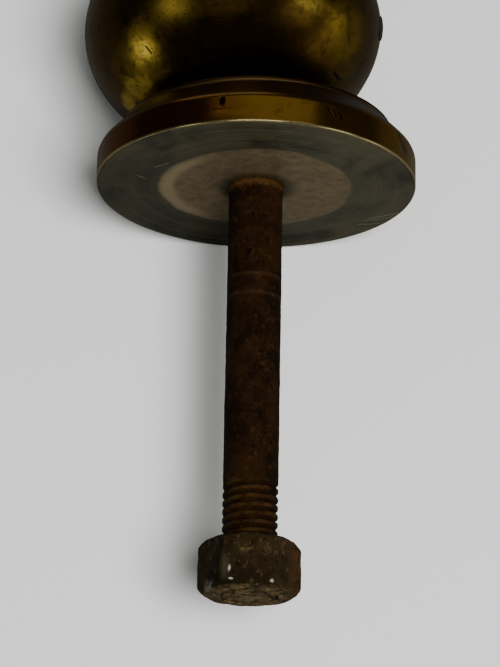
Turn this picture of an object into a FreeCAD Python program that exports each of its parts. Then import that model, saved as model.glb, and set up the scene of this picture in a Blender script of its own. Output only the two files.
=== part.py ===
"""Centre-door knob: a hollow brass bun knob on a turned rose, held to the door by a half-inch bolt.

Frame: the origin is the centre of the rose's back face, which lies against the door. +Y runs along
the bolt into the door, the knob stands out towards -Y, and +Z is up. Millimetres.
The knob was soldered to its neck a little off centre and leaning, and it is modelled that way.
"""

import FreeCAD, Part
import Sketcher
import os
from types import SimpleNamespace

# name: (value, what it sets)
SIZES = {
    "rose_radius": (37.0, "outside radius of the rose"),
    "rose_rim": (7.0, "depth of the rose's cylindrical rim"),
    "rose_rise": (5.8, "depth of the sloping front above the rim"),
    "rose_slope": (5.4, "how far the slope runs in from the rim"),
    "rose_band": (1.0, "height of the small band at the top of the slope"),
    "rose_arris": (2.4, "rounding of the edge between rim and slope"),
    "rose_lip": (0.3, "rounding of the two edges of the band"),
    "rose_back_edge": (0.5, "rounding of the edge that meets the door"),
    "dish_depth": (2.4, "depth of the dish that takes the neck's collar"),
    "spigot_depth": (3.4, "depth of the socket below the dish"),
    "bolt_radius": (6.35, "half of the half-inch bolt"),
    "bolt_inner": (29.6, "length of bolt in front of the door face"),
    "shank_length": (85.0, "door face to the near face of the nut"),
    "bolt_bevel": (0.4, "bevel on the bolt's ends"),
    "pitch": (1.9538, "thread pitch, 13 turns to the inch"),
    "visible_turns": (7.0, "thread turns between the plain shank and the nut"),
    "thread_depth": (0.7, "depth of the bolt's thread, worn and full of rust; a new one is 1.2 deep"),
    "thread_root": (0.3, "width of the flat at the bottom of the bolt's thread"),
    "thread_play": (0.12, "play between the threads, along the bolt and across it"),
    "nut_flats": (20.64, "nut across its flats"),
    "nut_height": (12.4, "nut from face to face"),
    "nut_end_bevel": (0.35, "how far the outer bevel reaches inside the flats"),
    "nut_near_bevel": (0.1, "the same on the face towards the door"),
    "nut_countersink": (0.4, "countersink at each end of the nut's thread"),
    "running_gap": (0.05, "radial play of the bolt and the neck in the rose"),
    "seat_gap": (0.1, "play between the neck's collar and the rose"),
    "spigot_radius": (12.0, "part of the neck that turns in the rose"),
    "collar_radius": (21.5, "disc of the neck that carries the knob"),
    "collar_thickness": (2.5, "thickness of that disc"),
    "dish_margin": (3.0, "room round the collar in the dish"),
    "cup_step": (3.0, "how far the cup, in which the knob is soldered, lies inside the collar's edge"),
    "cup_height": (3.8, "how far the cup stands up from the collar"),
    "barrel_radius": (10.5, "part of the neck inside the knob"),
    "barrel_cap": (4.4, "metal in front of the bolt's end"),
    "cross_pin_radius": (2.0, "pin through the neck and the bolt"),
    "cross_pin_setback": (8.0, "pin behind the bolt's front end"),
    "cross_pin_recess": (0.3, "pin's ends below the neck's barrel"),
    "knob_radius": (35.2, "knob's radius at its widest"),
    "knob_half_depth": (28.2, "half of the knob's depth"),
    "knob_sink": (2.3, "how far the round back of the knob reaches past the collar's face"),
    "knob_offset": (6.2, "knob's centre to one side of the bolt"),
    "knob_lean": (5.1, "degrees that the knob leans to that side"),
    "shell_wall": (1.4, "thickness of the two shells"),
    "lap_length": (3.0, "lip of the rear shell inside the front shell"),
    "lap_thickness": (1.0, "thickness of the lip"),
    "lap_gap": (0.05, "room for solder round the lip"),
    "plug_behind_seam": (3.0, "vent plug behind the seam"),
    "plug_turn": (6.0, "degrees round the knob from its side to the vent plug"),
    "plug_head_radius": (2.9, "vent plug's head"),
    "plug_head_height": (0.5, "vent plug's head above the shell"),
    "plug_stem_radius": (1.3, "vent plug's stem"),
    "plug_stem_length": (2.6, "vent plug's stem through the wall"),
    "plug_seat_depth": (0.25, "spot face under the plug's head"),
}

FLANK_SLOPE = 0.57735      # tangent of 30 degrees, the flank of a 60 degree thread
BEVEL_SLOPE = 0.84         # the nut's bevels fall 0.84 for each 1 they run out
CORNER_RATIO = 1.154701    # a hexagon across its corners, over across its flats


class Size:
    """A number together with the sheet expression that gives it."""

    def __init__(self, value, text):
        self.value = value
        self.text = text

    @staticmethod
    def of(number):
        return number if isinstance(number, Size) else Size(float(number), repr(number))

    def __add__(self, other):
        other = Size.of(other)
        return Size(self.value + other.value, f"({self.text} + {other.text})")

    def __sub__(self, other):
        other = Size.of(other)
        return Size(self.value - other.value, f"({self.text} - {other.text})")

    def __mul__(self, other):
        other = Size.of(other)
        return Size(self.value * other.value, f"({self.text} * {other.text})")

    def __neg__(self):
        return Size(-self.value, f"(-{self.text})")


doc = FreeCAD.newDocument("knob")
sheet = doc.addObject("Spreadsheet::Sheet", "Sizes")
for row, (name, (value, note)) in enumerate(SIZES.items(), start=1):
    sheet.set(f"A{row}", name)
    sheet.set(f"B{row}", str(value))
    sheet.setAlias(f"B{row}", name)
    sheet.set(f"C{row}", note)
doc.recompute()

s = SimpleNamespace(**{name: Size(value, f"Sizes.{name}") for name, (value, _) in SIZES.items()})

# depths and radii that more than one piece uses; depths count from the door face towards the knob
rose_front = s.rose_rim + s.rose_rise + s.rose_band
dish_floor = rose_front - s.dish_depth
socket_floor = dish_floor - s.spigot_depth
collar_back = dish_floor + s.seat_gap
collar_front = collar_back + s.collar_thickness
knob_centre = collar_front + s.knob_half_depth - s.knob_sink
bolt_end = s.shank_length + s.nut_height
thread_start = s.shank_length - s.pitch * s.visible_turns


def origin_plane(body, role):
    """One of the body's own origin planes or axes, found by its role."""
    for feature in body.Origin.OriginFeatures:
        if feature.Role == role:
            return feature
    raise ValueError(role)


def new_body(label):
    body = doc.addObject("PartDesign::Body", label)
    body.Label = label
    return body


def new_sketch(body, name, role="XY_Plane"):
    sketch = body.newObject("Sketcher::SketchObject", name)
    sketch.AttachmentSupport = [(origin_plane(body, role), "")]
    sketch.MapMode = "FlatFace"
    return sketch


def hold(sketch, kind, point, distance):
    """Hold a corner at a signed distance from the sketch's origin, bound to the sheet."""
    distance = Size.of(distance)
    if distance.value == 0:
        axis = -2 if kind == "DistanceX" else -1
        sketch.addConstraint(Sketcher.Constraint("PointOnObject", *point, axis))
        return
    if distance.value > 0:
        ends = (-1, 1, *point)
    else:
        ends = (*point, -1, 1)
        distance = -distance
    index = sketch.addConstraint(Sketcher.Constraint(kind, *ends, distance.value))
    sketch.setExpression(f"Constraints[{index}]", distance.text)


def outline(sketch, corners):
    """A closed outline of straight lines through the corners, each held in both directions."""
    places = [FreeCAD.Vector(Size.of(x).value, Size.of(y).value, 0) for x, y in corners]
    first = sketch.GeometryCount
    for here, there in zip(places, places[1:] + places[:1]):
        sketch.addGeometry(Part.LineSegment(here, there), False)
    count = len(corners)
    for i in range(count):
        following = first + (i + 1) % count
        sketch.addConstraint(Sketcher.Constraint("Coincident", first + i, 2, following, 1))
    for i, (x, y) in enumerate(corners):
        hold(sketch, "DistanceX", (first + i, 1), x)
        hold(sketch, "DistanceY", (first + i, 1), y)


def circle(sketch, x, y, radius):
    centre = FreeCAD.Vector(Size.of(x).value, Size.of(y).value, 0)
    index = sketch.addGeometry(Part.Circle(centre, FreeCAD.Vector(0, 0, 1), radius.value), False)
    hold(sketch, "DistanceX", (index, 3), x)
    hold(sketch, "DistanceY", (index, 3), y)
    constraint = sketch.addConstraint(Sketcher.Constraint("Radius", index, radius.value))
    sketch.setExpression(f"Constraints[{constraint}]", radius.text)


def turn(body, name, corners, kind="PartDesign::Revolution"):
    """Turn an outline in X and Y about the Y axis, or cut it out as a groove."""
    sketch = new_sketch(body, name + "_outline")
    outline(sketch, corners)
    feature = body.newObject(kind, name)
    feature.Profile = sketch
    feature.ReferenceAxis = (sketch, ["V_Axis"])
    feature.Angle = 360
    doc.recompute()
    return feature


def edges_at(shape, radius, along):
    """Names of the circular edges about the Y axis with this radius, at this place along it."""
    names = []
    for number, edge in enumerate(shape.Edges, start=1):
        curve = edge.Curve
        if not isinstance(curve, Part.Circle):
            continue
        same_radius = abs(curve.Radius - radius.value) < 0.01
        if same_radius and abs(curve.Center.y - along.value) < 0.01:
            names.append(f"Edge{number}")
    return names


def rounded(body, name, radius, *rings):
    """Round the circular edges that lie at the given radius and place along the axis."""
    base = body.Tip
    edges = [edge for ring in rings for edge in edges_at(base.Shape, *ring)]
    fillet = body.newObject("PartDesign::Fillet", name)
    fillet.Base = (base, edges)
    fillet.setExpression("Radius", radius.text)
    doc.recompute()
    return fillet


def thread(body, name, corners, height):
    """Cut a right-hand thread of the given section about the Y axis."""
    sketch = new_sketch(body, name + "_section")
    outline(sketch, corners)
    helix = body.newObject("PartDesign::SubtractiveHelix", name)
    helix.Profile = sketch
    helix.ReferenceAxis = (sketch, ["V_Axis"])
    helix.Mode = 0
    helix.LeftHanded = False
    helix.Reversed = False
    helix.setExpression("Pitch", s.pitch.text)
    helix.setExpression("Height", height.text)
    doc.recompute()
    return helix


def make_rose():
    """Turned brass casting: a cylindrical rim, a sloping front with a small band, and a dish."""
    body = new_body("rose")
    slope_top = s.rose_radius - s.rose_slope
    dish_radius = s.collar_radius + s.dish_margin
    turn(body, "rose_turning", [
        (s.bolt_radius + s.running_gap, 0),
        (s.rose_radius, 0),
        (s.rose_radius, -s.rose_rim),
        (slope_top, -(s.rose_rim + s.rose_rise)),
        (slope_top, -rose_front),
        (dish_radius, -rose_front),
        (dish_radius, -dish_floor),
        (s.spigot_radius + s.running_gap, -dish_floor),
        (s.spigot_radius + s.running_gap, -socket_floor),
        (s.bolt_radius + s.running_gap, -socket_floor),
    ])
    rounded(body, "rose_arris", s.rose_arris, (s.rose_radius, -s.rose_rim))
    rounded(body, "rose_back_edge", s.rose_back_edge, (s.rose_radius, Size.of(0)))
    rounded(body, "rose_lips", s.rose_lip, (slope_top, -rose_front), (dish_radius, -rose_front))
    return body


def pin_hole(body, name, depth):
    """Drill the cross pin's hole right through the body, along Z."""
    before = body.Shape.Volume
    sketch = new_sketch(body, name + "_circle")
    circle(sketch, 0, -depth, s.cross_pin_radius)
    hole = body.newObject("PartDesign::Pocket", name)
    hole.Profile = sketch
    hole.Type = "ThroughAll"
    hole.SideType = "Symmetric"
    doc.recompute()
    if not body.Shape.Volume < before:
        raise RuntimeError(f"{name} cut nothing")


pin_depth = s.bolt_inner - s.cross_pin_setback


def make_cross_pin():
    """Steel pin that stops the bolt from unscrewing out of the neck."""
    pin = doc.addObject("Part::Cylinder", "cross_pin")
    pin.Label = "cross_pin"
    half = s.barrel_radius - s.cross_pin_recess
    pin.setExpression("Radius", s.cross_pin_radius.text)
    pin.setExpression("Height", (half * 2).text)
    pin.setExpression("Placement.Base.y", (-pin_depth).text)
    pin.setExpression("Placement.Base.z", (-half).text)
    return pin


def make_bolt():
    """Iron rod, plain through the door, threaded for the nut and pinned in the neck."""
    body = new_body("bolt")
    turn(body, "bolt_turning", [
        (0, -s.bolt_inner),
        (s.bolt_radius - s.bolt_bevel, -s.bolt_inner),
        (s.bolt_radius, s.bolt_bevel - s.bolt_inner),
        (s.bolt_radius, bolt_end - s.bolt_bevel),
        (s.bolt_radius - s.bolt_bevel, bolt_end),
        (0, bolt_end),
    ])
    pin_hole(body, "bolt_pin_hole", pin_depth)
    clear = 1.0  # the section stands this far outside the rod
    root = s.bolt_radius - s.thread_depth
    half_root = s.thread_root * 0.5
    half_mouth = half_root + (s.thread_depth + clear) * FLANK_SLOPE
    thread(body, "bolt_thread", [
        (root, thread_start - half_root),
        (s.bolt_radius + clear, thread_start - half_mouth),
        (s.bolt_radius + clear, thread_start + half_mouth),
        (root, thread_start + half_root),
    ], bolt_end - thread_start + s.pitch)
    return body


def make_nut():
    """Hex nut with bevelled ends, flats up and down, threaded to run on the bolt."""
    body = new_body("hex_nut")
    body.setExpression("Placement.Base.y", s.shank_length.text)
    corner = s.nut_flats * (CORNER_RATIO / 2)
    flat = s.nut_flats * 0.5
    sketch = new_sketch(body, "nut_hexagon", "XZ_Plane")
    outline(sketch, [
        (corner, 0), (corner * 0.5, flat), (-(corner * 0.5), flat),
        (-corner, 0), (-(corner * 0.5), -flat), (corner * 0.5, -flat),
    ])
    pad = body.newObject("PartDesign::Pad", "nut_blank")
    pad.Profile = sketch
    pad.setExpression("Length", s.nut_height.text)
    pad.Reversed = True
    doc.recompute()
    minor = s.bolt_radius - s.thread_depth + s.thread_play * 2
    mouth = minor + s.nut_countersink * 1.5
    turn(body, "nut_bore", [
        (0, 0), (mouth, 0), (minor, s.nut_countersink),
        (minor, s.nut_height - s.nut_countersink), (mouth, s.nut_height), (0, s.nut_height),
    ], "PartDesign::Groove")
    overrun = 1.0  # the bevels' sections stand this far outside the corners
    for name, inside, face, away in (
        ("nut_end_bevel", s.nut_end_bevel, s.nut_height, -1.0),
        ("nut_near_bevel", s.nut_near_bevel, Size.of(0), 1.0),
    ):
        rim = flat - inside
        run = corner + overrun - rim
        turn(body, name, [
            (rim, face), (corner + overrun, face), (corner + overrun, face + run * (BEVEL_SLOPE * away)),
        ], "PartDesign::Groove")
    # the nut's thread leaves ridges that lie in the bolt's grooves, with play on both flanks
    clear = 0.6  # the section starts this far inside the bore
    inner = minor - clear
    outer = s.bolt_radius + s.thread_play
    ridge_at_root = s.thread_root * 0.5 - s.thread_play
    ridge_inner = ridge_at_root + (inner - (s.bolt_radius - s.thread_depth)) * FLANK_SLOPE
    ridge_outer = ridge_at_root + (s.thread_depth + s.thread_play) * FLANK_SLOPE
    half_inner = s.pitch * 0.5 - ridge_inner
    half_outer = s.pitch * 0.5 - ridge_outer
    part_turn = Size(s.visible_turns.value % 1, f"mod({s.visible_turns.text}; 1)")
    start = -(s.pitch * (part_turn + 1.5))
    thread(body, "nut_thread", [
        (inner, start - half_inner), (outer, start - half_outer),
        (outer, start + half_outer), (inner, start + half_inner),
    ], s.nut_height + s.pitch * 4.0)
    return body


# the knob's own frame: its origin is the knob's centre and its +Z points to the knob's front
lean = f"rotation(vector(0; 0; 1); {s.knob_lean.text})"
knob_frame = (
    f"placement(vector({s.knob_offset.text}; -{knob_centre.text}; 0);"
    f" {lean} * rotation(vector(1; 0; 0); 90))"
)

# the vent plug's frame in the knob's: on the shell, with its +Z straight out of the surface
behind = s.plug_behind_seam.text
wide = s.knob_radius.text
deep = s.knob_half_depth.text
plug_reach = f"({wide} * sqrt(1 - ({behind} / {deep})^2))"
plug_tilt = f"atan({behind} * {wide}^2 / ({deep}^2 * {plug_reach}))"
plug_frame = (
    f"placement(vector(0; 0; 0); rotation(vector(0; 0; 1); -{s.plug_turn.text}))"
    f" * placement(vector(-{plug_reach}; 0; -{behind});"
    f" rotation(vector(0; 1; 0); -90 deg - {plug_tilt}))"
)


def half_shell(name, shrink, low, high):
    """Part of a flattened ball about Z, smaller than the knob's outside by the given amount."""
    half = doc.addObject("Part::Ellipsoid", name)
    half.setExpression("Radius1", (s.knob_half_depth - shrink).text)
    half.setExpression("Radius2", (s.knob_radius - shrink).text)
    half.Angle1 = low
    half.Angle2 = high
    return half


def cylinder(name, radius, height, placement=""):
    tool = doc.addObject("Part::Cylinder", name)
    tool.setExpression("Radius", Size.of(radius).text)
    tool.setExpression("Height", Size.of(height).text)
    if placement:
        tool.setExpression("Placement", placement)
    return tool


def pair(kind, name, base, tool):
    """Part::Cut or Part::Common of two objects."""
    result = doc.addObject(kind, name)
    result.Base = base
    result.Tool = tool
    return result


def neck_space(name, room):
    """What lies behind the collar's face, and the barrel with some room round it."""
    forward = "rotation(vector(1; 0; 0); 90)"
    behind_face = cylinder(name + "_face", s.knob_radius, collar_front,
                           f"placement(vector(0; 0; 0); {forward})")
    barrel = cylinder(name + "_barrel", s.barrel_radius + room, knob_centre,
                      f"placement(vector(0; 0; 0); {forward})")
    space = doc.addObject("Part::MultiFuse", name)
    space.Shapes = [behind_face, barrel]
    return space


def make_neck():
    """Cast brass neck: a spigot and collar that turn in the rose, a cup for the knob, and a barrel."""
    body = new_body("neck_casting")
    cup_radius = s.collar_radius - s.cup_step
    bore_end = s.bolt_inner + s.seat_gap
    turn(body, "neck_turning", [
        (s.bolt_radius, -(socket_floor + s.seat_gap)),
        (s.spigot_radius, -(socket_floor + s.seat_gap)),
        (s.spigot_radius, -collar_back),
        (s.collar_radius, -collar_back),
        (s.collar_radius, -collar_front),
        (cup_radius, -collar_front),
        (cup_radius, -(collar_front + s.cup_height)),
        (s.barrel_radius, -(collar_front + s.cup_height)),
        (s.barrel_radius, -(bore_end + s.barrel_cap)),
        (0, -(bore_end + s.barrel_cap)),
        (0, -bore_end),
        (s.bolt_radius, -bore_end),
    ])
    pin_hole(body, "neck_pin_hole", pin_depth)
    ball = half_shell("cup_ball", -s.lap_gap, -90, 90)
    ball.setExpression("Placement", knob_frame)
    hollow = pair("Part::Cut", "cup_hollow", ball, neck_space("cup_core", Size.of(0)))
    neck = pair("Part::Cut", "neck", body, hollow)
    neck.Label = "neck"
    return neck


def make_front_shell():
    """Pressed brass front of the knob."""
    outside = half_shell("front_outside", Size.of(0), 0, 90)
    inside = half_shell("front_inside", s.shell_wall, 0, 90)
    shell = pair("Part::Cut", "knob_front_shell", outside, inside)
    shell.Label = "knob_front_shell"
    shell.setExpression("Placement", knob_frame)
    return shell


def lip_part(name, gap, low, high, start):
    """A ring of the lip, between two heights, lying against the inside of the shells."""
    outside = half_shell(name + "_outside", s.shell_wall + gap, low, high)
    inside = half_shell(name + "_inside", s.shell_wall + s.lap_gap + s.lap_thickness, low, high)
    ring = pair("Part::Cut", name + "_ring", outside, inside)
    slab = cylinder(name + "_slab", s.knob_radius, s.lap_length)
    slab.setExpression("Placement.Base.z", start.text)
    return pair("Part::Common", name, ring, slab)


def make_rear_shell():
    """Pressed brass back of the knob: a lip inside the front shell, and a foot round the neck's barrel."""
    outside = half_shell("rear_outside", Size.of(0), -90, 0)
    inside = half_shell("rear_inside", s.shell_wall, -90, 0)
    wall = pair("Part::Cut", "rear_wall", outside, inside)
    root = lip_part("lip_root", Size.of(0), -90, 0, -s.lap_length)
    tongue = lip_part("lip_tongue", s.lap_gap, 0, 90, Size.of(0))
    pressing = doc.addObject("Part::MultiFuse", "rear_pressing")
    pressing.Shapes = [wall, root, tongue]

    past_wall = 3.0  # the vent hole's tools run this far past both sides of the wall
    stem_hole = cylinder("vent_hole", s.plug_stem_radius, past_wall * 2,
                         f"{plug_frame} * placement(vector(0; 0; -{past_wall}); rotation(vector(0; 0; 1); 0))")
    spot_face = cylinder("vent_spot_face", s.plug_head_radius + s.lap_gap, past_wall,
                         f"{plug_frame} * placement(vector(0; 0; -{s.plug_seat_depth.text});"
                         " rotation(vector(0; 0; 1); 0))")
    tools = doc.addObject("Part::MultiFuse", "vent_tools")
    tools.Shapes = [stem_hole, spot_face]
    drilled = pair("Part::Cut", "rear_drilled", pressing, tools)
    drilled.setExpression("Placement", knob_frame)

    shell = pair("Part::Cut", "knob_rear_shell", drilled, neck_space("foot", s.lap_gap))
    shell.Label = "knob_rear_shell"
    return shell


def make_vent_plug():
    """Round-headed plug that closes the hole through which the hollow knob breathed when soldered."""
    body = new_body("vent_plug")
    seat = -s.plug_seat_depth
    turn(body, "plug_turning", [
        (0, -s.plug_stem_length),
        (s.plug_stem_radius, -s.plug_stem_length),
        (s.plug_stem_radius, seat),
        (s.plug_head_radius, seat),
        (s.plug_head_radius, s.plug_head_height * 0.2),
        (s.plug_head_radius * 0.72, s.plug_head_height * 0.75),
        (s.plug_head_radius * 0.35, s.plug_head_height),
        (0, s.plug_head_height),
    ])
    body.setExpression(
        "Placement",
        f"{knob_frame} * {plug_frame} * placement(vector(0; 0; 0); rotation(vector(1; 0; 0); 90))",
    )
    return body


pieces = [
    make_rose(),
    make_neck(),
    make_cross_pin(),
    make_bolt(),
    make_nut(),
    make_front_shell(),
    make_rear_shell(),
    make_vent_plug(),
]
doc.recompute()

for obj in doc.Objects:
    if "Invalid" in obj.State or "Error" in obj.State:
        raise RuntimeError(f"{obj.Name} failed: {obj.State}")
for piece in pieces:
    shape = piece.Shape
    if shape.isNull() or not shape.isValid() or len(shape.Solids) != 1:
        raise RuntimeError(f"{piece.Label} is not one valid solid")

os.makedirs("parts", exist_ok=True)
for piece in pieces:
    piece.Shape.exportStep(f"parts/{piece.Label}.step")
    box = piece.Shape.optimalBoundingBox(True, False)
    print(f"{piece.Label:18} {piece.Shape.Volume:10.1f} mm3"
          f"  X {box.XMin:7.2f} {box.XMax:7.2f}  Y {box.YMin:7.2f} {box.YMax:7.2f}"
          f"  Z {box.ZMin:7.2f} {box.ZMax:7.2f}")
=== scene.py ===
# %% [markdown]
# # A centre-door knob in old brass and rusty iron
# The object is a hollow brass knob on a turned brass rose. A half-inch iron bolt runs out of the
# rose's back into the door, with a hex nut on its end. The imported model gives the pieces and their
# places, and this lesson adds what a lathe hand, years of polish and a damp door have done to them.

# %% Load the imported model
import bpy
import math
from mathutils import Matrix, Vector


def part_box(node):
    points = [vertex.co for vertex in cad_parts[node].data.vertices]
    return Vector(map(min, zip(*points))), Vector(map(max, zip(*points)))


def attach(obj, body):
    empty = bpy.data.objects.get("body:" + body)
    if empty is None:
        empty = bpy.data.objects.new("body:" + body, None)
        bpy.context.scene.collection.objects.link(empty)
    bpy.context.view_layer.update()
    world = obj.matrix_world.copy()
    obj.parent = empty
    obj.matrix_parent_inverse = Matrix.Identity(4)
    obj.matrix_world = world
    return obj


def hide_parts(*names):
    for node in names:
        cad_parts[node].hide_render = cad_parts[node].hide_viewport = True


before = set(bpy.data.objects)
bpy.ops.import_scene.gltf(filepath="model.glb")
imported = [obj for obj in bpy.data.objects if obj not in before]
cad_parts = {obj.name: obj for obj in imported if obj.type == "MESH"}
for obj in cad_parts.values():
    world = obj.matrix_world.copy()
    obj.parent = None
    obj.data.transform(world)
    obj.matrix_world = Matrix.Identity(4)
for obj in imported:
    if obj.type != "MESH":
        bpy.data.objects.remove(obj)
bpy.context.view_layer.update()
MM = 0.001

# %% [markdown]
# ## Camera and floor
# The knob lies on a white board with its nut towards us, and is seen from above. A long lens a good
# half metre away keeps the bolt from looking tapered, as a close wide lens would. The floor is a
# plain sheet that touches the rim of the rose, which is the widest piece.

# %% Camera
bpy.ops.object.camera_add(
    location=(0.00076, 0.23756, 0.55522),
    rotation=(math.radians(19.965), math.radians(-0.364), math.radians(-178.997)),
)
camera = bpy.context.object
camera.name = "camera"
camera.data.sensor_width = 36.0
camera.data.lens = 140.3
camera.data.clip_start = 0.01
bpy.context.scene.camera = camera
print("camera looks from", [round(c, 3) for c in camera.location])

# %% Floor
floor_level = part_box("rose")[0].z - 0.1 * MM
bpy.ops.mesh.primitive_plane_add(size=4.0, location=(0, 0, floor_level))
floor = bpy.context.object
floor.name = "floor"
print("floor at", round(floor_level, 4))

# %% [markdown]
# ## Short ways to write a finish
# Every finish below is a tree of small nodes. These helpers add one node each and hand back its
# output, so that a finish reads like a recipe. All of them work on Object coordinates, in metres,
# which lie still on the metal when the knob turns.

# %% Node helpers
def is_socket(value):
    return isinstance(value, bpy.types.NodeSocket)


class Finish:
    """A material together with its tree, its shader and the place of each point on the piece."""

    def __init__(self, name):
        self.material = bpy.data.materials.new(name)
        self.material.use_nodes = True
        self.tree = self.material.node_tree
        self.shader = self.tree.nodes["Principled BSDF"]
        self.place = self.node("ShaderNodeTexCoord").outputs["Object"]

    def node(self, kind, inputs=(), **settings):
        """Add a node, set its options, and fill its inputs with values or links."""
        added = self.tree.nodes.new(kind)
        for key, value in settings.items():
            setattr(added, key, value)
        for key, value in dict(inputs).items():
            self.fill(added.inputs[key], value)
        return added

    def fill(self, socket, value):
        if is_socket(value):
            self.tree.links.new(value, socket)
        elif socket.type == "RGBA":
            socket.default_value = (*value, 1)
        else:
            socket.default_value = value

    def set(self, **inputs):
        """Fill the shader's own inputs; Base_Color means Base Color."""
        for key, value in inputs.items():
            self.fill(self.shader.inputs[key.replace("_", " ")], value)

    def math(self, operation, a, b=0.0):
        return self.node("ShaderNodeMath", {0: a, 1: b}, operation=operation, use_clamp=False).outputs[0]

    def vector(self, operation, a, b=(0, 0, 0)):
        """Vector arithmetic; DISTANCE, LENGTH and DOT_PRODUCT give a number."""
        added = self.node("ShaderNodeVectorMath", {0: a, 1: b}, operation=operation)
        number = operation in ("DISTANCE", "LENGTH", "DOT_PRODUCT")
        return added.outputs["Value" if number else "Vector"]

    def noise(self, size, detail=4.0, rough=0.55, twist=0.0, place=None, shift=0.0):
        """Cloudy noise from 0 to 1, with blotches of about this size in metres."""
        inputs = {"Vector": place or self.place, "W": shift, "Scale": 1 / size, "Detail": detail,
                  "Roughness": rough, "Distortion": twist}
        return self.node("ShaderNodeTexNoise", inputs, noise_dimensions="4D").outputs["Fac"]

    def fade(self, value, low, high):
        """0 below low, 1 above high, and smooth between. It falls instead where low is the larger."""
        inputs = {"Value": value, "From Min": low, "From Max": high}
        return self.node("ShaderNodeMapRange", inputs, interpolation_type="SMOOTHSTEP").outputs[0]

    def blend(self, amount, first, second):
        added = self.node("ShaderNodeMix", {0: amount, 6: first, 7: second}, data_type="RGBA")
        return added.outputs[2]

    def spot(self, centre, reach, blur=0.5, uneven=None):
        """1 inside an egg about a place, 0 outside; centre and half lengths in millimetres."""
        scale = [1 / (length * MM) for length in reach]
        inside = self.vector("MULTIPLY", self.vector("SUBTRACT", self.place, Vector(centre) * MM), scale)
        away = self.vector("LENGTH", inside)
        if uneven is not None:
            away = self.math("ADD", away, uneven)
        return self.fade(away, 1 + blur, 1 - blur)

    def line(self, start, end, width):
        """1 along a straight mark between two places, 0 off it; all in millimetres."""
        start, end = Vector(start) * MM, Vector(end) * MM
        run = end - start
        offset = self.vector("SUBTRACT", self.place, start)
        share = self.math("DIVIDE", self.vector("DOT_PRODUCT", offset, run), run.length_squared)
        share = self.node("ShaderNodeClamp", {"Value": share}).outputs[0]
        nearest = self.node("ShaderNodeVectorMath", {0: run, "Scale": share}, operation="SCALE").outputs[0]
        away = self.vector("DISTANCE", offset, nearest)
        return self.fade(away, width * MM, 0.2 * width * MM)

    def total(self, *values):
        result = values[0]
        for value in values[1:]:
            result = self.math("ADD", result, value)
        return result

    def clamp(self, value):
        return self.node("ShaderNodeClamp", {"Value": value}).outputs[0]

    def axes(self):
        """X, Y and Z of the point as numbers."""
        return self.node("ShaderNodeSeparateXYZ", {0: self.place}).outputs

    def radius(self):
        """Distance from the bolt's axis."""
        return self.vector("LENGTH", self.vector("MULTIPLY", self.place, (1, 0, 1)))

    def bump(self, height, depth, strength=1.0):
        """Lean the surface by a height from 0 to 1, worth this depth in metres."""
        added = self.node("ShaderNodeBump", {"Height": height, "Distance": depth, "Strength": strength})
        self.set(Normal=added.outputs[0])


print("finish helpers ready")

# %% [markdown]
# ## White board
# The board under the knob is smooth and a little glossy. The lower half of every polished surface
# shows it, and an evenly white board would wash the brass out. A studio lays dark cards round a shiny
# piece for this reason, with one white card where a highlight is wanted. Here the board itself turns
# dark for reflections only, apart from one bright stretch beside the knob.

# %% Board finish
BOARD_WHITE = (0.77, 0.79, 0.765)
board = Finish("white_board")
beside_knob = board.spot((112, 34, -37), (62, 40, 9), 0.5)
near_rose = board.spot((0, 10, -37), (66, 80, 9), 0.35)
seen = board.blend(near_rose, (0.07, 0.068, 0.060), (0.20, 0.19, 0.16))
seen = board.blend(beside_knob, seen, (0.85, 0.84, 0.80))
in_reflection = board.node("ShaderNodeLightPath").outputs["Is Glossy Ray"]
board.set(Base_Color=board.blend(in_reflection, BOARD_WHITE, seen), Roughness=0.38)
floor.data.materials.append(board.material)
print("board finish has", len(board.tree.nodes), "nodes")

# %% [markdown]
# ## Light
# Two kinds of light are used. One soft lamp and a pale sky light the board and the rust. Polished
# brass shows its surroundings instead, so it gets a dark room with a few bright cards: windows at
# both sides and a lamp overhead. The cards are seen only in reflections, and light nothing else.

# %% Sky and room
world = bpy.data.worlds.new("room")
bpy.context.scene.world = world
world.use_nodes = True
sky_tree = world.node_tree
sky = sky_tree.nodes["Background"]
sky.inputs["Color"].default_value = (0.97, 1.0, 0.96, 1)
sky.inputs["Strength"].default_value = 0.165
room = sky_tree.nodes.new("ShaderNodeBackground")
room.inputs["Color"].default_value = (1.0, 0.9, 0.75, 1)
room.inputs["Strength"].default_value = 0.028
either = sky_tree.nodes.new("ShaderNodeMixShader")
ray = sky_tree.nodes.new("ShaderNodeLightPath")
sky_tree.links.new(ray.outputs["Is Glossy Ray"], either.inputs[0])
sky_tree.links.new(sky.outputs[0], either.inputs[1])
sky_tree.links.new(room.outputs[0], either.inputs[2])
sky_tree.links.new(either.outputs[0], sky_tree.nodes["World Output"].inputs[0])


# %% Lamp
def direction(turn, height):
    """The way to a place in the room: degrees from +X towards +Y, and degrees above the board."""
    turn, height = math.radians(turn), math.radians(height)
    return Vector((math.cos(turn) * math.cos(height), math.sin(turn) * math.cos(height), math.sin(height)))


def soft_lamp(name, place, size, power):
    """A square lamp that faces the knob, left out of reflections in the metal."""
    bpy.ops.object.light_add(type="AREA", location=place)
    lamp = bpy.context.object
    lamp.name = name
    lamp.data.size = size
    lamp.data.energy = power
    lamp.rotation_euler = (-Vector(place)).to_track_quat("-Z", "Y").to_euler()
    lamp.visible_glossy = False
    return lamp


soft_lamp("window_lamp", direction(124, 66) * 1.1, 0.42, 19.5)


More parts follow.
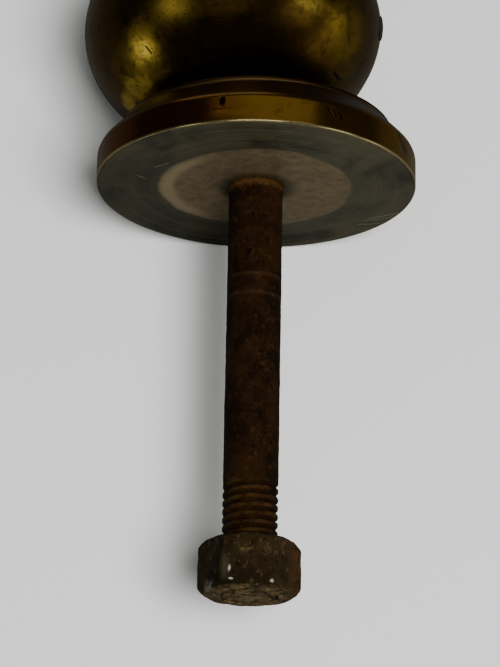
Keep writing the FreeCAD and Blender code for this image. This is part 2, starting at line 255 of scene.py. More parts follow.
# %% Reflection cards
def card(name, turn, height, wide, high, strength, colour=(1, 1, 1), away=0.9):
    """A bright card that only reflections show; its sides in metres."""
    place = direction(turn, height) * away
    bpy.ops.mesh.primitive_plane_add(size=1.0, location=place)
    panel = bpy.context.object
    panel.name = name
    panel.scale = (wide, high, 1)
    panel.rotation_euler = (-place).to_track_quat("Z", "Y").to_euler()
    glow = bpy.data.materials.new(name)
    glow.use_nodes = True
    tree = glow.node_tree
    tree.nodes.remove(tree.nodes["Principled BSDF"])
    emission = tree.nodes.new("ShaderNodeEmission")
    emission.inputs["Color"].default_value = (*colour, 1)
    emission.inputs["Strength"].default_value = strength
    tree.links.new(emission.outputs[0], tree.nodes["Material Output"].inputs[0])
    panel.data.materials.append(glow)
    panel.visible_camera = False
    panel.visible_diffuse = False
    panel.visible_shadow = False
    return panel


CREAM = (1.0, 0.93, 0.8)
cards = [
    card("left_window", 30, 3, 0.26, 0.24, 0.95),
    card("left_high_window", 12, 44, 0.26, 0.20, 1.00),
    card("right_window", 171, 34, 0.50, 0.34, 0.80),
    card("right_wall", 165, 4, 0.70, 0.26, 0.65, CREAM),
    card("ceiling_lamp", 270, 86, 0.55, 0.16, 2.4),
    card("ceiling", 262, 60, 1.15, 0.34, 0.26, CREAM),
    card("room_light", 85, 69, 0.60, 0.10, 0.30, CREAM),
    card("front_window", 285, 14, 0.7, 0.40, 0.60),
]
print("cards:", [panel.name for panel in cards])

# %% [markdown]
# ## Helpers for making pieces
# Each piece is selected alone before it is worked on, because an operator acts on everything that is
# selected. A modifier is applied as soon as it is set, so the mesh holds the finished shape.

# %% Piece helpers
def select_only(piece):
    bpy.ops.object.select_all(action="DESELECT")
    piece.select_set(True)
    bpy.context.view_layer.objects.active = piece


def apply_modifier(piece, kind, **settings):
    """Add a modifier, set it and apply it."""
    select_only(piece)
    modifier = piece.modifiers.new(kind.title(), kind)
    for key, value in settings.items():
        setattr(modifier, key, value)
    bpy.ops.object.modifier_apply(modifier=modifier.name)


def clouds(name, size, depth=2):
    """A soft cloud pattern for the Displace modifier, with lumps of about this size in metres."""
    texture = bpy.data.textures.new(name, "CLOUDS")
    texture.noise_scale = size
    texture.noise_depth = depth
    return texture


def wear_down(piece, name, size, depth, group=""):
    """Sink the surface by up to this depth, in lumps of this size; it never rises."""
    apply_modifier(piece, "DISPLACE", texture=clouds(name, size), texture_coords="LOCAL",
                   mid_level=0.0, strength=-depth, vertex_group=group)


def copy_node(node, name):
    """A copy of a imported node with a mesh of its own, its loose triangles joined up."""
    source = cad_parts[node]
    piece = bpy.data.objects.new(name, source.data.copy())
    bpy.context.scene.collection.objects.link(piece)
    piece.data.name = name
    piece.data.materials.clear()
    select_only(piece)
    bpy.ops.object.mode_set(mode="EDIT")
    bpy.ops.mesh.select_all(action="SELECT")
    bpy.ops.mesh.remove_doubles(threshold=0.002 * MM)
    bpy.ops.object.mode_set(mode="OBJECT")
    return piece


def hand_over(piece, finish, body, node):
    """Give a finished piece its material, hang it on the body it rides on, and hide the node it replaces."""
    piece.data.materials.clear()
    piece.data.materials.append(finish.material)
    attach(piece, body)
    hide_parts(node)
    print(piece.name, "has", len(piece.data.polygons), "faces")


print("piece helpers ready")

# %% [markdown]
# ## The knob's two shells
# A hollow knob is pressed from sheet brass in two halves, soldered together and polished, so that
# the seam vanishes. Both halves are cut here from one ball, flattened along its axis, leaning as the
# real one leans, and dented a little by use. Because the ball is dented before it is cut, the halves
# still meet all round. Then each half gets the thickness of its sheet inwards.

# %% The knob's size and place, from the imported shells
LEAN = math.radians(5.1)
HALF_DEPTH = 28.2 * MM
SHEET = 1.4 * MM
front_low, front_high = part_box("knob_front_shell")
knob_radius = (front_high.z - front_low.z) / 2
reach_x = math.hypot(knob_radius * math.cos(LEAN), HALF_DEPTH * math.sin(LEAN))
reach_y = math.hypot(HALF_DEPTH * math.cos(LEAN), knob_radius * math.sin(LEAN))
knob_centre = Vector((front_high.x - reach_x, front_low.y + reach_y, 0))
knob_axis = Vector((math.sin(LEAN), -math.cos(LEAN), 0))
print("knob centre in mm:", [round(c / MM, 2) for c in knob_centre])

# %% One dented ball
bpy.ops.object.select_all(action="DESELECT")
bpy.ops.mesh.primitive_uv_sphere_add(segments=160, ring_count=96, radius=knob_radius)
ball = bpy.context.object
ball.scale.z = HALF_DEPTH / knob_radius
ball.rotation_euler = (math.radians(90), 0, LEAN)
ball.location = knob_centre
bpy.ops.object.transform_apply(location=True, rotation=True, scale=True)
plug_low, plug_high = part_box("vent_plug")
plug_place = (plug_low + plug_high) / 2
dentable = ball.vertex_groups.new(name="dentable")
SOUND_REACH, DENTED_REACH = 4 * MM, 14 * MM
for vertex in ball.data.vertices:
    away = (vertex.co - plug_place).length
    weight = min(max((away - SOUND_REACH) / (DENTED_REACH - SOUND_REACH), 0), 1)
    dentable.add([vertex.index], weight, "REPLACE")
wear_down(ball, "knob_dents", 22 * MM, 0.40 * MM, "dentable")
ball.vertex_groups.clear()
print("ball has", len(ball.data.vertices), "vertices")


# %% Cut it into shells
def cut(piece, place, away):
    """Cut a piece through a place and throw away the side that the direction points to."""
    select_only(piece)
    bpy.ops.object.mode_set(mode="EDIT")
    bpy.ops.mesh.select_all(action="SELECT")
    bpy.ops.mesh.bisect(plane_co=place, plane_no=away, clear_outer=True)
    bpy.ops.object.mode_set(mode="OBJECT")


select_only(ball)
bpy.ops.object.duplicate()
knob_front = bpy.context.object
knob_front.name = knob_front.data.name = "knob_front"
ball.name = ball.data.name = "knob_back"
knob_back = ball
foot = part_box("knob_rear_shell")[1].y
cut(knob_front, knob_centre, -knob_axis)
cut(knob_back, knob_centre, knob_axis)
cut(knob_back, (0, foot, 0), (0, 1, 0))
for shell in (knob_front, knob_back):
    apply_modifier(shell, "SOLIDIFY", thickness=SHEET, offset=-1.0, use_even_offset=True)

# %% Open the back shell for the neck's barrel
BARREL_RADIUS = 10.55 * MM
bpy.ops.object.select_all(action="DESELECT")
bpy.ops.mesh.primitive_cylinder_add(
    vertices=96, radius=BARREL_RADIUS, depth=30 * MM, location=(0, foot, 0),
    rotation=(math.radians(90), 0, 0),
)
drill = bpy.context.object
apply_modifier(knob_back, "BOOLEAN", object=drill, operation="DIFFERENCE", solver="EXACT")
bpy.data.objects.remove(drill)
for shell in (knob_front, knob_back):
    select_only(shell)
    bpy.ops.object.shade_smooth_by_angle(angle=math.radians(40))
    print(shell.name, "is cut and", round(SHEET / MM, 1), "mm thick")

# %% [markdown]
# ## The rose
# The rose is a turned casting, so it is turned here too: half of its section is drawn point by point
# and spun about the bolt's axis. Its edges are softened by polishing, its back still shows the
# tool's rings, and a casting flaw left a small pit in the rim.

# %% Rose outline
def round_corner(centre, radius, start, end, count=6):
    """Points of an arc about a centre, between two angles in degrees."""
    steps = [math.radians(start + (end - start) * i / count) for i in range(count + 1)]
    return [(centre[0] + radius * math.cos(a), centre[1] + radius * math.sin(a)) for a in steps]


def groove(middle, width, depth):
    """A shallow turned ring in the flat back, from the inside outwards."""
    return [(middle - width / 2, 0.0), (middle, -depth), (middle + width / 2, 0.0)]


rose_low, rose_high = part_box("rose")
ROSE_RADIUS = rose_high.x / MM
ROSE_FRONT = rose_low.y / MM
BORE, SOCKET, DISH, SLOPE_TOP = 6.40, 12.05, 24.5, 31.6
SOCKET_FLOOR, DISH_FLOOR, BAND, RIM = -8.0, -11.4, 1.0, -7.0
back_edge, arris, lip = 0.5, 2.4, 0.3
slope_angle = math.degrees(math.atan2(5.4, 5.8))
tangent = arris * math.tan(math.radians(slope_angle / 2))
arris_start = RIM + tangent

outline = [(BORE, 0.0)]
for ring, width, depth in ((22.4, 0.5, 0.05), (26.4, 0.5, 0.04), (28.3, 0.35, 0.05), (29.2, 0.35, 0.05),
                           (30.4, 0.5, 0.06), (31.3, 0.35, 0.04), (33.2, 0.4, 0.05)):
    outline += groove(ring, width, depth)
outline += round_corner((ROSE_RADIUS - back_edge, -back_edge), back_edge, 90, 0)
outline += [(ROSE_RADIUS, -2.6), (ROSE_RADIUS - 0.03, -3.1), (ROSE_RADIUS, -3.6)]
outline += round_corner((ROSE_RADIUS - arris, arris_start), arris, 0, -slope_angle)
outline += [(SLOPE_TOP, ROSE_FRONT + BAND)]
outline += round_corner((SLOPE_TOP - lip, ROSE_FRONT + lip), lip, 0, -90, 4)
outline += round_corner((DISH + lip, ROSE_FRONT + lip), lip, -90, -180, 4)
outline += [(DISH, DISH_FLOOR), (SOCKET, DISH_FLOOR), (SOCKET, SOCKET_FLOOR), (BORE, SOCKET_FLOOR)]
print("rose outline has", len(outline), "points")


# %% Spin the rose
def lathe(name, section, steps):
    """Draw a closed section, as radius and place along Y in millimetres, and spin it about Y."""
    bpy.ops.object.select_all(action="DESELECT")
    bpy.ops.mesh.primitive_plane_add(size=MM, location=(0, 0, 0))
    piece = bpy.context.object
    piece.name = piece.data.name = name
    bpy.ops.object.mode_set(mode="EDIT")
    bpy.ops.mesh.select_all(action="SELECT")
    bpy.ops.mesh.merge(type="CENTER")
    bpy.ops.transform.translate(value=(section[0][0] * MM, section[0][1] * MM, 0))
    for here, there in zip(section, section[1:] + section[:1]):
        step = ((there[0] - here[0]) * MM, (there[1] - here[1]) * MM, 0)
        bpy.ops.mesh.extrude_vertices_move(TRANSFORM_OT_translate={"value": step})
    bpy.ops.mesh.select_all(action="SELECT")
    bpy.ops.mesh.remove_doubles(threshold=0.001 * MM)
    bpy.ops.mesh.spin(steps=steps, angle=math.tau, center=(0, 0, 0), axis=(0, 1, 0))
    bpy.ops.mesh.select_all(action="SELECT")
    bpy.ops.mesh.remove_doubles(threshold=0.001 * MM)
    bpy.ops.mesh.normals_make_consistent(inside=False)
    bpy.ops.object.mode_set(mode="OBJECT")
    bpy.ops.object.shade_smooth_by_angle(angle=math.radians(30))
    return piece


rose = lathe("turned_rose", outline, 288)
print("rose spun:", len(rose.data.vertices), "vertices")


# %% Pits and knocks
def knock(piece, centre, reach, depth, inwards):
    """Refine the faces about a place and push them in, deepest in the middle; in millimetres."""
    centre, inwards = Vector(centre) * MM, Vector(inwards).normalized()
    size = Vector(reach) * MM
    select_only(piece)
    faces = piece.data.polygons
    near = [face.index for face in faces if (face.center - centre).length < 1.6 * max(size)]
    bpy.ops.object.mode_set(mode="EDIT")
    bpy.ops.mesh.select_mode(type="FACE")
    bpy.ops.mesh.select_all(action="DESELECT")
    bpy.ops.object.mode_set(mode="OBJECT")
    for index in near:
        piece.data.polygons[index].select = True
    bpy.ops.object.mode_set(mode="EDIT")
    bpy.ops.mesh.subdivide(number_cuts=4)
    bpy.ops.object.mode_set(mode="OBJECT")
    for vertex in piece.data.vertices:
        offset = vertex.co - centre
        away = sum((offset[i] / size[i]) ** 2 for i in range(3))
        if away < 1:
            vertex.co += inwards * depth * MM * (1 - away) ** 2


knock(rose, (7.9, -5.3, 36.2), (0.75, 1.3, 1.6), 0.55, (-0.2, 0, -1))
knock(rose, (-33.0, -3.6, 16.6), (1.6, 1.2, 2.4), 0.16, (0.9, 0, -0.45))
knock(rose, (-16.0, -4.4, 33.4), (1.4, 1.0, 1.4), 0.12, (0.4, 0, -0.9))
print("rose knocked:", len(rose.data.vertices), "vertices")
select_only(rose)
bpy.ops.object.shade_smooth_by_angle(angle=math.radians(30))

# %% [markdown]
# ## The bolt and the nut
# Rust eats iron unevenly and leaves it rough and lumpy, with the threads worn soft. Both pieces start
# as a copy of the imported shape. A voxel remesh gives them even small faces, which two cloud patterns
# then sink by a fraction of a millimetre. They never raise it, so the nut still runs on its thread.
# Only the crust of rust where the bolt leaves the rose is built up, well away from the nut.

# %% Bolt
bolt = copy_node("bolt", "rusty_bolt")
apply_modifier(bolt, "REMESH", mode="VOXEL", voxel_size=0.30 * MM, use_smooth_shade=True)
wear_down(bolt, "bolt_lumps", 5 * MM, 0.16 * MM)
wear_down(bolt, "bolt_grain", 1.1 * MM, 0.12 * MM)

# %% Swollen rust where the bolt leaves the rose
SWELL, SWELL_END = 0.42 * MM, 1.9 * MM
for vertex in bolt.data.vertices:
    x, y, z = vertex.co
    if 0.08 * MM < y < SWELL_END:
        lumpy = 0.75 + 0.25 * math.sin(3 * math.atan2(z, x) + 0.7)
        rise = SWELL * lumpy * math.sin(math.pi * y / SWELL_END) ** 0.6
        out = Vector((x, 0, z)).normalized()
        vertex.co += out * rise
print("bolt has", len(bolt.data.vertices), "vertices")

# %% Nut
nut = copy_node("hex_nut", "rusty_nut")
apply_modifier(nut, "REMESH", mode="VOXEL", voxel_size=0.25 * MM, use_smooth_shade=True)
outside = nut.vertex_groups.new(name="outside")
THREAD_ZONE, OUTER_ZONE = 7.2 * MM, 8.4 * MM
for vertex in nut.data.vertices:
    reach = math.hypot(vertex.co.x, vertex.co.z)
    weight = min(max((reach - THREAD_ZONE) / (OUTER_ZONE - THREAD_ZONE), 0), 1)
    outside.add([vertex.index], weight, "REPLACE")
apply_modifier(nut, "SMOOTH", factor=0.5, iterations=34, vertex_group="outside")
wear_down(nut, "nut_lumps", 4.5 * MM, 0.45 * MM, "outside")
wear_down(nut, "nut_grain", 1.3 * MM, 0.22 * MM, "outside")
print("nut has", len(nut.data.vertices), "vertices")

# %% [markdown]
# ## Old brass on the knob
# The knob was polished for years and then left. What is left is a brown film with clean yellow brass
# where it has been rubbed through, small black specks, hair scratches and a few nicks. The clean
# places are eggs with ragged edges, because rubbing wears a rounded surface in soft patches.

# %% Knob finish
BRASS = (0.82, 0.58, 0.075)
OLIVE = (0.36, 0.25, 0.030)
BROWN = (0.150, 0.085, 0.014)
SOOT = (0.018, 0.011, 0.005)

old = Finish("old_knob_brass")
ragged = old.math("MULTIPLY", old.math("SUBTRACT", old.noise(7 * MM, 5, 0.65, 0.6), 0.5), 1.8)
rubbed = old.clamp(old.total(
    old.spot((26.6, -24.5, 22.0), (3.4, 6.5, 5.0), 0.4, ragged),
    old.spot((27.3, -18.6, 12.6), (4.2, 4.0, 4.2), 0.3, ragged),
    old.spot((30.5, -18.5, 5.0), (2.4, 3.0, 4.0), 0.3, ragged),
))
half_rubbed = old.clamp(old.total(
    old.spot((20.0, -32.0, 30.0), (8.0, 6.0, 7.0), 0.35, ragged),
    old.spot((-20.0, -31.0, 20.0), (5.0, 7.0, 9.0), 0.45, ragged),
    old.spot((-12.5, -34.5, 28.4), (5.0, 3.0, 4.0), 0.3, ragged),
    old.spot((27.0, -21.5, 17.5), (6.0, 10.0, 10.0), 0.4, ragged),
    old.spot((10.0, -66.0, 0.0), (22.0, 14.0, 24.0), 0.5, ragged),
    old.fade(old.noise(26 * MM, 3, 0.5, 0.3, shift=2.0), 0.56, 0.72),
))
film = old.blend(old.math("MULTIPLY", half_rubbed, 0.8), BROWN, OLIVE)
film = old.blend(rubbed, film, BRASS)
mottle = old.fade(old.noise(3.2 * MM, 6, 0.7, 0.8, shift=5.0), 0.50, 0.68)
film = old.blend(old.math("MULTIPLY", mottle, 0.75), film, BROWN)
stains = old.fade(old.noise(6 * MM, 7, 0.75, 1.2, shift=11.0), 0.52, 0.60)
film = old.blend(old.math("MULTIPLY", stains, 0.45), film, SOOT)
specks = old.fade(old.noise(0.9 * MM, 3, 0.6, 0.0, shift=9.0), 0.66, 0.74)
marks = old.clamp(old.total(
    old.line((-17.4, -23.1, 14.2), (-18.3, -22.9, 11.6), 0.45),
    old.line((-18.3, -22.9, 11.6), (-19.6, -23.2, 10.0), 0.5),
    old.line((-19.6, -23.2, 10.0), (-21.6, -24.6, 8.6), 0.45),
    old.line((30.3, -21.6, 13.6), (31.6, -22.6, 13.0), 0.5),
    old.line((26.3, -18.2, 12.6), (28.0, -19.6, 12.8), 0.5),
    old.line((24.4, -23.2, 22.4), (25.6, -24.6, 22.9), 0.3),
))
film = old.blend(old.math("MULTIPLY", specks, 0.75), film, SOOT)
film = old.blend(marks, film, SOOT)

# hair scratches run round the knob, so the noise is stretched along one direction
stretch = {"Vector": old.place, "Rotation": (0.3, 0.5, 0.2), "Scale": (0.06, 1, 1)}
along = old.node("ShaderNodeMapping", stretch)
hairs = old.fade(old.noise(0.35 * MM, 2, 0.5, 0.0, place=along.outputs[0]), 0.63, 0.70)
rough = old.math("ADD", 0.17, old.math("MULTIPLY", old.noise(5 * MM, 4, 0.6, 0.4, shift=3.0), 0.20))
rough = old.math("ADD", rough, old.math("MULTIPLY", specks, 0.3))
height = old.total(
    old.math("MULTIPLY", old.noise(2.5 * MM, 5, 0.6), 0.5),
    old.math("MULTIPLY", hairs, -0.10),
    old.math("MULTIPLY", specks, -0.35),
    old.math("MULTIPLY", marks, -2.0),
)
old.set(Base_Color=film, Metallic=1.0, Roughness=rough)
old.bump(height, 0.09 * MM)
for shell, node in ((knob_front, "knob_front_shell"), (knob_back, "knob_rear_shell")):
    hand_over(shell, old, "knob", node)

# %% [markdown]
# ## Turned brass on the rose
# One finish covers the rose, and three zones share it. The rim kept its polish; it is gold on one side
# and painted darker red-brown on the other, which is painted shade. The slope above it is dark and
# greasy, and a painted highlight lines its band and the rim's back edge. The back, which lay against
# the door, is dull grey-green, with painted light on its upper and lamp sides and painted shade round
# the bolt. There a rubbed tan disc with a bright crescent shows where the wood pressed.

# %% Rose finish
turned = Finish("turned_rose_brass")
x, y, z = turned.axes()
r = turned.radius()
wide_noise = turned.noise(14 * MM, 5, 0.6, 0.5)
fine_noise = turned.noise(2.2 * MM, 6, 0.7, 0.6, shift=4.0)

# polished rim: gold on the -X side, towards the lamp, and darker red-brown on the +X side, which is painted
# shade
gold_edge = turned.math("ADD", x, turned.math("MULTIPLY", wide_noise, -14 * MM))
gold_side = turned.fade(gold_edge, 6 * MM, -8 * MM)
rim_colour_and_painted_shade = turned.blend(gold_side, (0.22, 0.085, 0.014), (0.36, 0.20, 0.022))
rim_blotch = turned.fade(fine_noise, 0.50, 0.70)
rim_colour_and_painted_shade = turned.blend(turned.math("MULTIPLY", rim_blotch, 0.6), rim_colour_and_painted_shade, (0.16, 0.07, 0.012))

# slope: dark and reddish, with a painted highlight line on the band
slope_colour = turned.blend(wide_noise, (0.06, 0.026, 0.010), (0.17, 0.085, 0.022))
painted_band_highlight = turned.fade(turned.math("ABSOLUTE", turned.math("ADD", y, 12.8 * MM)), 0.5 * MM, 0.15 * MM)
slope_colour = turned.blend(turned.math("MULTIPLY", painted_band_highlight, 0.7), slope_colour, (0.42, 0.29, 0.12))
on_slope = turned.fade(y, -6.6 * MM, -7.4 * MM)
# painted highlight: a pale gold line along the rim's rounded back edge
painted_edge_highlight = turned.fade(turned.math("ABSOLUTE", turned.math("ADD", y, 0.35 * MM)), 0.5 * MM, 0.15 * MM)
front_colour = turned.blend(on_slope, rim_colour_and_painted_shade, slope_colour)
front_colour = turned.blend(turned.math("MULTIPLY", painted_edge_highlight, 0.9), front_colour, (0.95, 0.80, 0.36))

# back: turned rings, painted light on its upper and -X sides, a rubbed disc with a ragged edge and its pale
# border, and painted shade round the bolt
ring_place = turned.node("ShaderNodeCombineXYZ", {0: r}).outputs[0]
rings = turned.noise(1.1 * MM, 2, 0.5, 0.0, place=ring_place)
soft_rings = turned.noise(5 * MM, 2, 0.5, 0.0, place=ring_place, shift=3.0)
DULL_GREEN, DULL_BROWN = (0.040, 0.041, 0.029), (0.095, 0.083, 0.050)
back_colour = turned.blend(turned.fade(wide_noise, 0.35, 0.65), DULL_GREEN, DULL_BROWN)
broad_marks = turned.math("MULTIPLY", turned.fade(soft_rings, 0.45, 0.65), 0.4)
back_colour = turned.blend(broad_marks, back_colour, (0.110, 0.100, 0.064))
tool_marks = turned.math("MULTIPLY", turned.fade(rings, 0.50, 0.66), 0.2)
back_colour = turned.blend(tool_marks, back_colour, (0.15, 0.135, 0.09))
cloudy = turned.fade(wide_noise, 0.30, 0.60)
# painted light: the back turns paler towards -X, the lamp's side, and towards the top
painted_light_lamp_side = turned.math("MULTIPLY", turned.fade(x, 6 * MM, -20 * MM), cloudy)
back_colour = turned.blend(turned.math("MULTIPLY", painted_light_lamp_side, 0.6), back_colour, (0.165, 0.150, 0.092))
painted_light_top = turned.math("MULTIPLY", turned.fade(z, 4 * MM, 24 * MM), cloudy)
back_colour = turned.blend(turned.math("MULTIPLY", painted_light_top, 0.6), back_colour, (0.180, 0.158, 0.090))
ragged_r = turned.math("ADD", r, turned.math("MULTIPLY", turned.math("SUBTRACT", wide_noise, 0.5), 5 * MM))
from_border = turned.math("ABSOLUTE", turned.math("SUBTRACT", ragged_r, 23.3 * MM))
border = turned.fade(from_border, 1.9 * MM, 0.3 * MM)
back_colour = turned.blend(turned.math("MULTIPLY", border, 0.45), back_colour, (0.115, 0.115, 0.078))
disc = turned.fade(ragged_r, 22.9 * MM, 21.6 * MM)
disc_colour = turned.blend(turned.fade(fine_noise, 0.35, 0.65), (0.190, 0.142, 0.080), (0.300, 0.226, 0.126))
back_colour = turned.blend(disc, back_colour, disc_colour)
from_ring = turned.math("ABSOLUTE", turned.math("SUBTRACT", ragged_r, 20.2 * MM))
crescent_side = turned.fade(x, 8 * MM, 17 * MM)
crescent = turned.math("MULTIPLY", turned.fade(from_ring, 2.6 * MM, 0.4 * MM), crescent_side)
back_colour = turned.blend(turned.math("MULTIPLY", crescent, 0.85), back_colour, (0.46, 0.35, 0.20))
# painted shade: the back darkens close round the bolt
painted_shade_round_bolt = turned.fade(r, 10.5 * MM, 7.0 * MM)
back_colour = turned.blend(turned.math("MULTIPLY", painted_shade_round_bolt, 0.75), back_colour, (0.030, 0.026, 0.010))
scratches = turned.clamp(turned.total(
    turned.line((-27.0, 0, -17.0), (-34.0, 0, -13.2), 0.28),
    turned.line((-26.0, 0, -18.6), (-33.2, 0, -15.6), 0.22),
    turned.line((-24.5, 0, -21.0), (-29.5, 0, -19.8), 0.25),
    turned.line((20.0, 0, 13.6), (23.0, 0, 11.4), 0.22),
    turned.line((25.5, 0, 4.6), (27.4, 0, 6.4), 0.2),
))
back_colour = turned.blend(turned.math("MULTIPLY", scratches, 0.7), back_colour, (0.42, 0.40, 0.32))
on_back = turned.fade(y, -0.34 * MM, -0.08 * MM)
colour = turned.blend(on_back, front_colour, back_colour)

pit = turned.spot((7.9, -5.3, 36.2), (0.6, 1.1, 1.2), 0.4)
rust_lip = turned.spot((7.9, -3.2, 36.3), (1.6, 0.9, 1.4), 0.6)
flakes = turned.clamp(turned.total(
    turned.line((-15.4, -5.6, 33.7), (-16.6, -3.6, 33.1), 0.3),
    turned.line((-16.6, -5.4, 33.1), (-17.4, -3.8, 32.7), 0.3),
    turned.line((-17.9, -4.9, 32.4), (-18.8, -3.6, 31.9), 0.3),
    turned.line((-32.0, -6.0, 18.6), (-33.6, -2.4, 15.5), 0.5),
    turned.line((-33.4, -5.6, 16.0), (-34.0, -2.8, 14.5), 0.35),
))
colour = turned.blend(turned.math("MULTIPLY", rust_lip, 0.5), colour, (0.45, 0.20, 0.04))
colour = turned.blend(turned.clamp(turned.math("ADD", pit, flakes)), colour, (0.02, 0.011, 0.006))

metal = turned.math("SUBTRACT", 1.0, turned.math("MULTIPLY", on_back, 0.25))
rough = turned.math("ADD", 0.15, turned.math("MULTIPLY", fine_noise, 0.12))
rough = turned.math("ADD", rough, turned.math("MULTIPLY", on_back, 0.09))
rough = turned.math("ADD", rough, turned.math("MULTIPLY", on_slope, 0.10))
height = turned.total(
    turned.math("MULTIPLY", turned.math("MULTIPLY", rings, on_back), 0.5),
    turned.math("MULTIPLY", fine_noise, 0.35),
    turned.math("MULTIPLY", scratches, -0.6),
    turned.math("MULTIPLY", flakes, -1.0),
)
turned.set(Base_Color=colour, Metallic=metal, Roughness=rough)
turned.bump(height, 0.035 * MM)
hand_over(rose, turned, "rose", "rose")

# %% [markdown]
# ## Rust
# The bolt and the nut share a rust recipe with different colours. Rust is a dull crust, so it is not
# metallic and it gives back little of the room. The ends of both pieces are tan, as if ground once.

# %% Rust recipe
def rust(name, dark, middle, light, grain, sheen):
    """A mottled rust finish; returns it with its colour, so that a piece can add its own marks."""
    crust = Finish(name)
    broad = crust.fade(crust.noise(9 * MM, 5, 0.65, 0.8), 0.36, 0.66)
    colour = crust.blend(broad, dark, middle)
    flecks = crust.fade(crust.noise(1.5 * MM, 6, 0.75, 0.4, shift=2.0), 0.52, 0.72)
    colour = crust.blend(crust.math("MULTIPLY", flecks, 0.8), colour, light)
    holes = crust.fade(crust.noise(0.8 * MM, 4, 0.6, 0.2, shift=6.0), 0.42, 0.30)
    colour = crust.blend(crust.math("MULTIPLY", holes, 0.8), colour, [c * 0.35 for c in dark])
    height = crust.total(crust.noise(grain, 8, 0.7), crust.math("MULTIPLY", holes, -0.8))
    crust.set(Roughness=sheen, Metallic=0.0, Specular_IOR_Level=0.12)
    crust.bump(height, 0.18 * MM)
    return crust, colour


RUST_GRAIN = 0.9 * MM
SHADED_END, TAN_END = (0.016, 0.010, 0.004), (0.110, 0.072, 0.026)
print("rust recipe ready")

# %% Bolt finish
bolt_rust, colour = rust("bolt_rust", (0.0050, 0.0022, 0.0007), (0.0155, 0.0062, 0.0015),
                         (0.040, 0.0165, 0.0045), RUST_GRAIN, 0.60)
y = bolt_rust.axes()["Y"]
THREAD_START = 71.3 * MM
on_thread = bolt_rust.fade(y, THREAD_START - 0.5 * MM, THREAD_START + 1.5 * MM)
# in patches on the thread: crests lighter as worn metal, and roots darker as painted shade
crest = bolt_rust.fade(bolt_rust.radius(), 5.75 * MM, 6.15 * MM)
crest_wear_and_root_shade = bolt_rust.blend(crest, (0.006, 0.003, 0.0009), (0.030, 0.0145, 0.0035))
thread_pattern_patches = bolt_rust.fade(bolt_rust.noise(5 * MM, 5, 0.7, 0.6, shift=4.0), 0.38, 0.62)
colour = bolt_rust.blend(bolt_rust.math("MULTIPLY", on_thread, thread_pattern_patches), colour, crest_wear_and_root_shade)
crust_edge = bolt_rust.math("MULTIPLY", bolt_rust.noise(1.4 * MM, 4, 0.7, 0.4, shift=7.0), 2.6 * MM)
ring_rust = bolt_rust.fade(bolt_rust.math("ADD", y, crust_edge), 3.3 * MM, 1.9 * MM)
crumbs = bolt_rust.noise(1.6 * MM, 5, 0.7, shift=1.0)
orange = bolt_rust.blend(crumbs, (0.010, 0.0042, 0.0012), (0.085, 0.038, 0.010))
colour = bolt_rust.blend(ring_rust, colour, orange)
rubbed = bolt_rust.total(
    bolt_rust.fade(bolt_rust.math("ABSOLUTE", bolt_rust.math("SUBTRACT", y, 23.3 * MM)), 0.6 * MM, 0.2 * MM),
    bolt_rust.fade(bolt_rust.math("ABSOLUTE", bolt_rust.math("SUBTRACT", y, 27.9 * MM)), 0.6 * MM, 0.2 * MM),
)
colour = bolt_rust.blend(bolt_rust.math("MULTIPLY", rubbed, 0.2), colour, (0.048, 0.026, 0.011))
end_face = bolt_rust.fade(y, 96.2 * MM, 96.6 * MM)
end_patches = bolt_rust.fade(bolt_rust.noise(2 * MM, 6, 0.75, 0.6), 0.40, 0.62)
end_colour = bolt_rust.blend(end_patches, SHADED_END, TAN_END)
colour = bolt_rust.blend(end_face, colour, end_colour)
bolt_rust.set(Base_Color=colour)
hand_over(bolt, bolt_rust, "knob", "bolt")

# %% Nut finish
nut_rust, colour = rust("nut_rust", (0.0080, 0.0050, 0.0018), (0.022, 0.0135, 0.0045),
                        (0.100, 0.066, 0.028), RUST_GRAIN, 0.58)
x, y, z = nut_rust.axes()
# painted light: paler orange rust patches on the nut's -X side, which faces the lamp
painted_light_nut_side = nut_rust.fade(x, -8.0 * MM, -10.5 * MM)
patchy = nut_rust.fade(nut_rust.noise(3 * MM, 5, 0.7, shift=8.0), 0.42, 0.62)
colour = nut_rust.blend(nut_rust.math("MULTIPLY", painted_light_nut_side, patchy), colour, (0.045, 0.018, 0.004))
end = nut_rust.fade(y, 96.6 * MM, 97.2 * MM)
end_patches = nut_rust.fade(nut_rust.noise(2 * MM, 6, 0.75, 0.6), 0.40, 0.62)
end_colour = nut_rust.blend(end_patches, SHADED_END, TAN_END)
colour = nut_rust.blend(nut_rust.math("MULTIPLY", end, 0.9), colour, end_colour)
chip_edge = nut_rust.math("MULTIPLY", nut_rust.math("SUBTRACT", nut_rust.noise(0.5 * MM, 3, 0.6), 0.5), 2.0)
near_corner = nut_rust.spot((10.2, 96.0, 8.0), (1.9, 3.0, 3.8), 0.5)
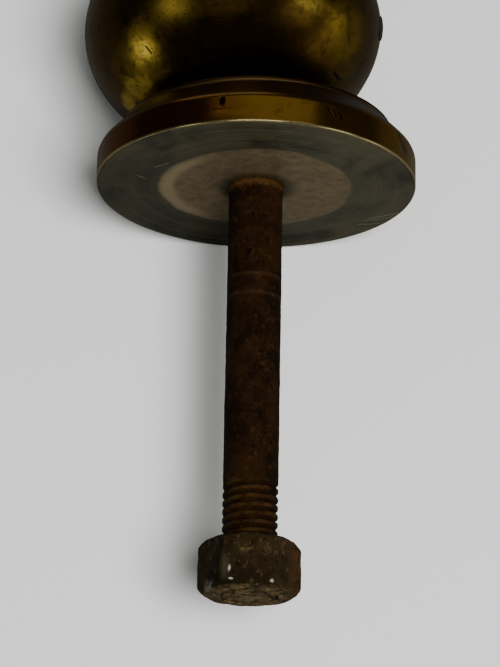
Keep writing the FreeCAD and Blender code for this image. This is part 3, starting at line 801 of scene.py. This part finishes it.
paint = nut_rust.clamp(nut_rust.total(
    nut_rust.math("MULTIPLY", near_corner, nut_rust.fade(nut_rust.noise(1.6 * MM, 4, 0.6, 0.5), 0.44, 0.50)),
    nut_rust.spot((4.3, 93.4, 9.9), (0.30, 0.65, 0.8), 0.3, chip_edge),
    nut_rust.spot((4.0, 95.7, 9.9), (0.50, 0.25, 0.8), 0.3, chip_edge),
    nut_rust.spot((-5.0, 96.0, 9.9), (0.40, 0.30, 0.8), 0.3, chip_edge),
))
green = nut_rust.spot((6.6, 93.0, 10.0), (2.2, 2.8, 1.2), 0.5)
colour = nut_rust.blend(nut_rust.math("MULTIPLY", green, 0.5), colour, (0.042, 0.040, 0.018))
colour = nut_rust.blend(nut_rust.math("MULTIPLY", paint, 0.85), colour, (0.24, 0.24, 0.21))
nut_rust.set(Base_Color=colour)
hand_over(nut, nut_rust, "nut", "hex_nut")

# %% [markdown]
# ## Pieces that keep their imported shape
# The vent plug, the neck and the cross pin are simple and mostly hidden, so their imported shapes
# stay. The plug is black with old polish, the neck is dull cast brass, and the pin is plain steel.

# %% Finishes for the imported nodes
def plain_metal(name, first, second, metallic, roughness, size):
    """A cloudy mix of two colours with a little grain."""
    plain = Finish(name)
    cloudy = plain.noise(size, 5, 0.65, 0.4)
    plain.set(Base_Color=plain.blend(cloudy, first, second), Metallic=metallic)
    plain.set(Roughness=plain.math("ADD", roughness, plain.math("MULTIPLY", cloudy, 0.15)))
    plain.bump(plain.noise(size * 0.3, 4, 0.6), 0.03 * MM)
    return plain


packed_finishes = {
    "vent_plug": plain_metal("black_vent_plug", (0.012, 0.010, 0.008), (0.05, 0.04, 0.03), 0.6, 0.30, 1 * MM),
    "neck": plain_metal("cast_neck_brass", (0.20, 0.13, 0.04), (0.36, 0.26, 0.09), 1.0, 0.42, 3 * MM),
    "cross_pin": plain_metal("pin_steel", (0.22, 0.21, 0.20), (0.36, 0.35, 0.34), 1.0, 0.32, 2 * MM),
}
for name, finish in packed_finishes.items():
    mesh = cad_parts[name].data
    mesh.materials.clear()
    mesh.materials.append(finish.material)
    print(name, "is finished in", finish.material.name)
